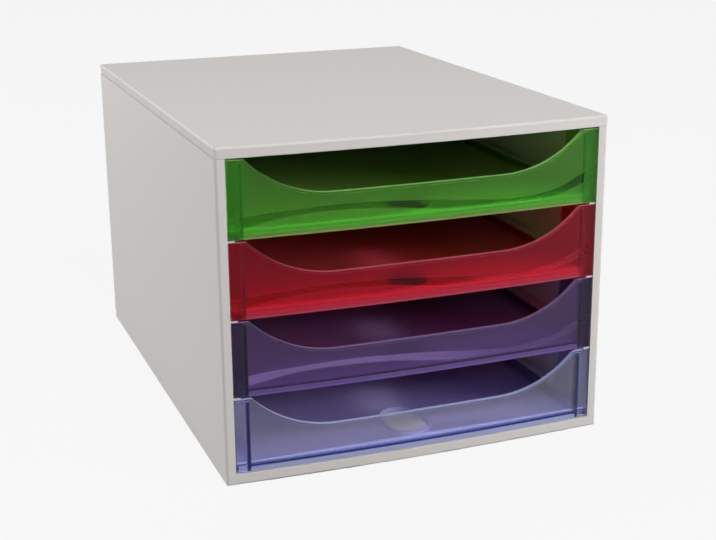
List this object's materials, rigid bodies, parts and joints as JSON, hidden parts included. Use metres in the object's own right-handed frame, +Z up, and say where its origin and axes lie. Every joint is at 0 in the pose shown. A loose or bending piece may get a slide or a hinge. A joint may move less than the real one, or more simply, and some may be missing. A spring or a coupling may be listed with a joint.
{
  "type": "drawer tower",
  "caption": "Desk drawer tower: pale five-panel plastic casing with a bowed front and translucent tray drawers with scooped fronts that slide out on ledges.",
  "frame": {"origin": "middle of the footprint, on the surface that the feet stand on", "axes": "+X to the right when facing the drawers, +Y to the back, +Z up; the drawers pull out along -Y"},
  "size_m": [0.284, 0.387, 0.235],
  "materials": {
    "casing": "pale warm grey moulded polystyrene, satin",
    "green_tray": "translucent green polystyrene, lightly frosted outside, glossy rims",
    "red_tray": "translucent red polystyrene, lightly frosted outside, glossy rims",
    "purple_tray": "translucent dark purple polystyrene, lightly frosted outside, glossy rims",
    "blue_tray": "translucent pale blue polystyrene, lightly frosted outside, glossy rims",
    "foot": "matt grey rubber pad"
  },
  "bodies": {
    "casing": {"top_panel": "casing", "bottom_panel": "casing", "left_side_panel": "casing", "right_side_panel": "casing", "back_panel": "casing", "front_left_foot": "foot", "front_right_foot": "foot", "rear_left_foot": "foot", "rear_right_foot": "foot"},
    "green_drawer": {"green_drawer": "green_tray"},
    "red_drawer": {"red_drawer": "red_tray"},
    "purple_drawer": {"purple_drawer": "purple_tray"},
    "blue_drawer": {"blue_drawer": "blue_tray"}
  },
  "joints": [
    {"name": "green_slide", "type": "slide", "parent": "casing", "child": "green_drawer", "axis": [0, -1, 0], "range_m": [0, 0.26]},
    {"name": "red_slide", "type": "slide", "parent": "casing", "child": "red_drawer", "axis": [0, -1, 0], "range_m": [0, 0.26]},
    {"name": "purple_slide", "type": "slide", "parent": "casing", "child": "purple_drawer", "axis": [0, -1, 0], "range_m": [0, 0.26]},
    {"name": "blue_slide", "type": "slide", "parent": "casing", "child": "blue_drawer", "axis": [0, -1, 0], "range_m": [0, 0.26]}
  ]
}
